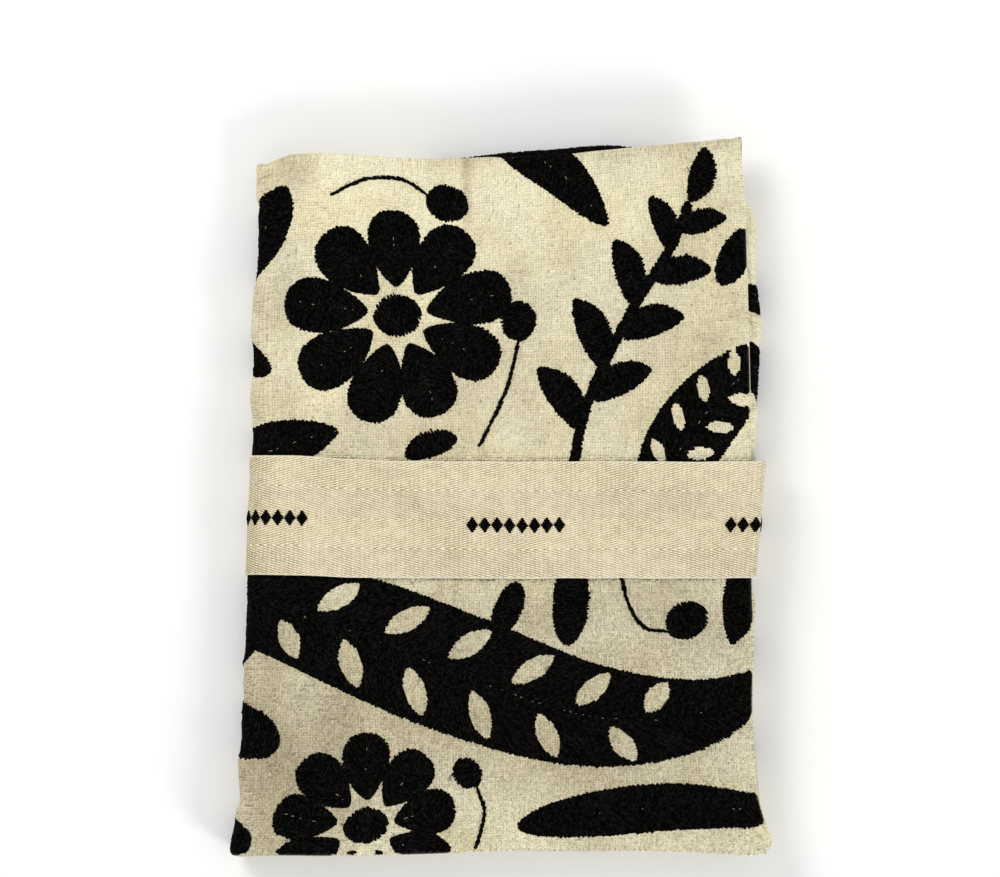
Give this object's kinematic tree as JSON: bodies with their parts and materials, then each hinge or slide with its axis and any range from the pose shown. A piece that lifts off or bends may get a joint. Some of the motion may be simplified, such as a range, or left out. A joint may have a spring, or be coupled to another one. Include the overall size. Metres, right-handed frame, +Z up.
{
  "type": "folded embroidered cushion cover with tape band",
  "caption": "Square embroidered cotton cushion cover folded into a flat packet and held by a woven tape band.",
  "frame": {"origin": "under the middle of the folded packet's outline, on the surface it lies on", "axes": "+Z up out of the front ply, +Y along the packet towards its folded end, +X across towards the free sewn edge"},
  "size_m": [0.1896, 0.254, 0.0208],
  "materials": {
    "embroidered_cotton": "unbleached plain-weave cotton, matt, slightly cockled by the stitching",
    "embroidery_yarn": "black cotton yarn laid as close flat stitches, soft sheen along the yarn",
    "plain_cotton": "unbleached plain-weave cotton, matt",
    "woven_tape": "herringbone twill cotton tape, matt with a slight sheen"
  },
  "bodies": {
    "root": {"front_panel": "embroidered_cotton", "back_panel": "plain_cotton", "band": "woven_tape"}
  },
  "joints": []
}
